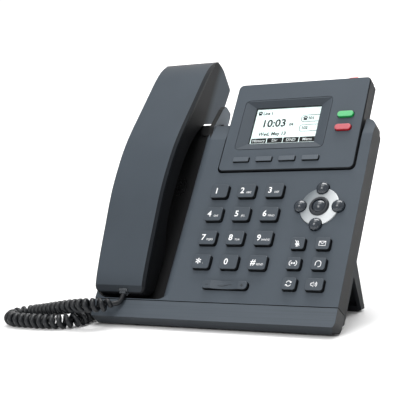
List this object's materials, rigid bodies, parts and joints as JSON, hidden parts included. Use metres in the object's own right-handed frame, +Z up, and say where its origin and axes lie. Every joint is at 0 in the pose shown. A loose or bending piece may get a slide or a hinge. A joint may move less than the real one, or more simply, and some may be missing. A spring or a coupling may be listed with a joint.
{
  "type": "desk ip phone",
  "caption": "Desk phone leaning back on a rear stand, with a lift-off handset on a curly cord, a raised display, a dial keypad, function keys and a navigation cluster.",
  "frame": {"origin": "on the desk, at the centre of the footprint of the phone without its cord", "axes": "+Z up, -Y towards the user, +X to the user's right; the face leans back and looks to -Y and +Z"},
  "size_m": [0.2794, 0.1908, 0.1926],
  "materials": {
    "shell_grey": "fine matte grain",
    "shell_dark": "fine matte grain",
    "key_grey": "satin",
    "key_green": "translucent satin",
    "key_red": "translucent satin",
    "ring_silver": "satin",
    "light_red": "translucent",
    "lens_clear": "clear",
    "lcd_white": "backlit",
    "screw_steel": "plain",
    "foot_rubber": "matt",
    "jack_black": "moulded",
    "board_green": "solder mask",
    "mat_rubber": "silicone",
    "speaker_black": "paper cone and frame",
    "plug_clear": "clear moulding",
    "cord_black": "satin jacket"
  },
  "bodies": {
    "base": {"upper_housing": "shell_grey", "chin_strip": "shell_grey", "lower_housing": "shell_dark", "housing_screws": "screw_steel", "rubber_feet": "foot_rubber", "network_jacks": "jack_black", "cord_jacks": "jack_black", "power_jack": "jack_black", "main_board": "board_green", "keypad_mat": "mat_rubber", "loudspeaker": "speaker_black", "nav_ring": "ring_silver", "nav_collar": "key_grey", "display_bezel": "shell_grey", "display_back": "shell_dark", "message_light": "light_red", "screen_lens": "lens_clear", "lcd_panel": "lcd_white", "cradle_tab": "shell_dark", "stand": "shell_dark", "base_plug": "plug_clear", "curly_cord": "cord_black", "cord_lead_handset": "cord_black", "cord_lead_base": "cord_black"},
    "handset": {"handset_outer_shell": "shell_grey", "handset_inner_shell": "shell_dark", "handset_receiver": "speaker_black", "handset_jack": "jack_black", "handset_plug": "plug_clear"},
    "hook_switch": {"hook_switch": "shell_dark"},
    "volume_rocker": {"volume_rocker": "key_grey"},
    "key_1": {"key_1": "key_grey"},
    "key_2": {"key_2": "key_grey"},
    "key_3": {"key_3": "key_grey"},
    "key_4": {"key_4": "key_grey"},
    "key_5": {"key_5": "key_grey"},
    "key_6": {"key_6": "key_grey"},
    "key_7": {"key_7": "key_grey"},
    "key_8": {"key_8": "key_grey"},
    "key_9": {"key_9": "key_grey"},
    "key_star": {"key_star": "key_grey"},
    "key_0": {"key_0": "key_grey"},
    "key_hash": {"key_hash": "key_grey"},
    "mute_key": {"mute_key": "key_grey"},
    "message_key": {"message_key": "key_grey"},
    "transfer_key": {"transfer_key": "key_grey"},
    "headset_key": {"headset_key": "key_grey"},
    "redial_key": {"redial_key": "key_grey"},
    "speaker_key": {"speaker_key": "key_grey"},
    "soft_key_1": {"soft_key_1": "key_grey"},
    "soft_key_2": {"soft_key_2": "key_grey"},
    "soft_key_3": {"soft_key_3": "key_grey"},
    "soft_key_4": {"soft_key_4": "key_grey"},
    "line_key_1": {"line_key_1": "key_green"},
    "line_key_2": {"line_key_2": "key_red"},
    "nav_up_key": {"nav_up_key": "key_grey"},
    "nav_right_key": {"nav_right_key": "key_grey"},
    "nav_down_key": {"nav_down_key": "key_grey"},
    "nav_left_key": {"nav_left_key": "key_grey"},
    "ok_key": {"ok_key": "key_grey"}
  },
  "joints": [
    {"name": "handset_lift", "type": "slide", "parent": "base", "child": "handset", "axis": [0, -0.788, 0.6157], "range_m": [0, 0.06]},
    {"name": "hook_switch_rise", "type": "slide", "parent": "base", "child": "hook_switch", "axis": [0, -0.788, 0.6157], "range_m": [0, 0.0018], "stiffness_N_per_m": 120},
    {"name": "key_1_press", "type": "slide", "parent": "base", "child": "key_1", "axis": [0, 0.788, -0.6157], "range_m": [0, 0.0012], "stiffness_N_per_m": 300},
    {"name": "key_2_press", "type": "slide", "parent": "base", "child": "key_2", "axis": [0, 0.788, -0.6157], "range_m": [0, 0.0012], "stiffness_N_per_m": 300},
    {"name": "key_3_press", "type": "slide", "parent": "base", "child": "key_3", "axis": [0, 0.788, -0.6157], "range_m": [0, 0.0012], "stiffness_N_per_m": 300},
    {"name": "key_4_press", "type": "slide", "parent": "base", "child": "key_4", "axis": [0, 0.788, -0.6157], "range_m": [0, 0.0012], "stiffness_N_per_m": 300},
    {"name": "key_5_press", "type": "slide", "parent": "base", "child": "key_5", "axis": [0, 0.788, -0.6157], "range_m": [0, 0.0012], "stiffness_N_per_m": 300},
    {"name": "key_6_press", "type": "slide", "parent": "base", "child": "key_6", "axis": [0, 0.788, -0.6157], "range_m": [0, 0.0012], "stiffness_N_per_m": 300},
    {"name": "key_7_press", "type": "slide", "parent": "base", "child": "key_7", "axis": [0, 0.788, -0.6157], "range_m": [0, 0.0012], "stiffness_N_per_m": 300},
    {"name": "key_8_press", "type": "slide", "parent": "base", "child": "key_8", "axis": [0, 0.788, -0.6157], "range_m": [0, 0.0012], "stiffness_N_per_m": 300},
    {"name": "key_9_press", "type": "slide", "parent": "base", "child": "key_9", "axis": [0, 0.788, -0.6157], "range_m": [0, 0.0012], "stiffness_N_per_m": 300},
    {"name": "key_star_press", "type": "slide", "parent": "base", "child": "key_star", "axis": [0, 0.788, -0.6157], "range_m": [0, 0.0012], "stiffness_N_per_m": 300},
    {"name": "key_0_press", "type": "slide", "parent": "base", "child": "key_0", "axis": [0, 0.788, -0.6157], "range_m": [0, 0.0012], "stiffness_N_per_m": 300},
    {"name": "key_hash_press", "type": "slide", "parent": "base", "child": "key_hash", "axis": [0, 0.788, -0.6157], "range_m": [0, 0.0012], "stiffness_N_per_m": 300},
    {"name": "mute_key_press", "type": "slide", "parent": "base", "child": "mute_key", "axis": [0, 0.788, -0.6157], "range_m": [0, 0.0012], "stiffness_N_per_m": 300},
    {"name": "message_key_press", "type": "slide", "parent": "base", "child": "message_key", "axis": [0, 0.788, -0.6157], "range_m": [0, 0.0012], "stiffness_N_per_m": 300},
    {"name": "transfer_key_press", "type": "slide", "parent": "base", "child": "transfer_key", "axis": [0, 0.788, -0.6157], "range_m": [0, 0.0012], "stiffness_N_per_m": 300},
    {"name": "headset_key_press", "type": "slide", "parent": "base", "child": "headset_key", "axis": [0, 0.788, -0.6157], "range_m": [0, 0.0012], "stiffness_N_per_m": 300},
    {"name": "redial_key_press", "type": "slide", "parent": "base", "child": "redial_key", "axis": [0, 0.788, -0.6157], "range_m": [0, 0.0012], "stiffness_N_per_m": 300},
    {"name": "speaker_key_press", "type": "slide", "parent": "base", "child": "speaker_key", "axis": [0, 0.788, -0.6157], "range_m": [0, 0.0012], "stiffness_N_per_m": 300},
    {"name": "soft_key_1_press", "type": "slide", "parent": "base", "child": "soft_key_1", "axis": [0, 0.788, -0.6157], "range_m": [0, 0.0008], "stiffness_N_per_m": 300},
    {"name": "soft_key_2_press", "type": "slide", "parent": "base", "child": "soft_key_2", "axis": [0, 0.788, -0.6157], "range_m": [0, 0.0008], "stiffness_N_per_m": 300},
    {"name": "soft_key_3_press", "type": "slide", "parent": "base", "child": "soft_key_3", "axis": [0, 0.788, -0.6157], "range_m": [0, 0.0008], "stiffness_N_per_m": 300},
    {"name": "soft_key_4_press", "type": "slide", "parent": "base", "child": "soft_key_4", "axis": [0, 0.788, -0.6157], "range_m": [0, 0.0008], "stiffness_N_per_m": 300},
    {"name": "line_key_1_press", "type": "slide", "parent": "base", "child": "line_key_1", "axis": [0, 0.788, -0.6157], "range_m": [0, 0.0008], "stiffness_N_per_m": 300},
    {"name": "line_key_2_press", "type": "slide", "parent": "base", "child": "line_key_2", "axis": [0, 0.788, -0.6157], "range_m": [0, 0.0008], "stiffness_N_per_m": 300},
    {"name": "nav_up_key_press", "type": "slide", "parent": "base", "child": "nav_up_key", "axis": [0, 0.788, -0.6157], "range_m": [0, 0.001], "stiffness_N_per_m": 300},
    {"name": "nav_right_key_press", "type": "slide", "parent": "base", "child": "nav_right_key", "axis": [0, 0.788, -0.6157], "range_m": [0, 0.001], "stiffness_N_per_m": 300},
    {"name": "nav_down_key_press", "type": "slide", "parent": "base", "child": "nav_down_key", "axis": [0, 0.788, -0.6157], "range_m": [0, 0.001], "stiffness_N_per_m": 300},
    {"name": "nav_left_key_press", "type": "slide", "parent": "base", "child": "nav_left_key", "axis": [0, 0.788, -0.6157], "range_m": [0, 0.001], "stiffness_N_per_m": 300},
    {"name": "ok_key_press", "type": "slide", "parent": "base", "child": "ok_key", "axis": [0, 0.788, -0.6157], "range_m": [0, 0.001], "stiffness_N_per_m": 300},
    {"name": "volume_rocker_tilt", "type": "hinge", "parent": "base", "child": "volume_rocker", "pos_m": [0.0114, -0.06331, 0.02765], "axis": [0, 0.6157, 0.788], "range_deg": [-2, 2], "stiffness_Nm_per_rad": 0.08}
  ]
}
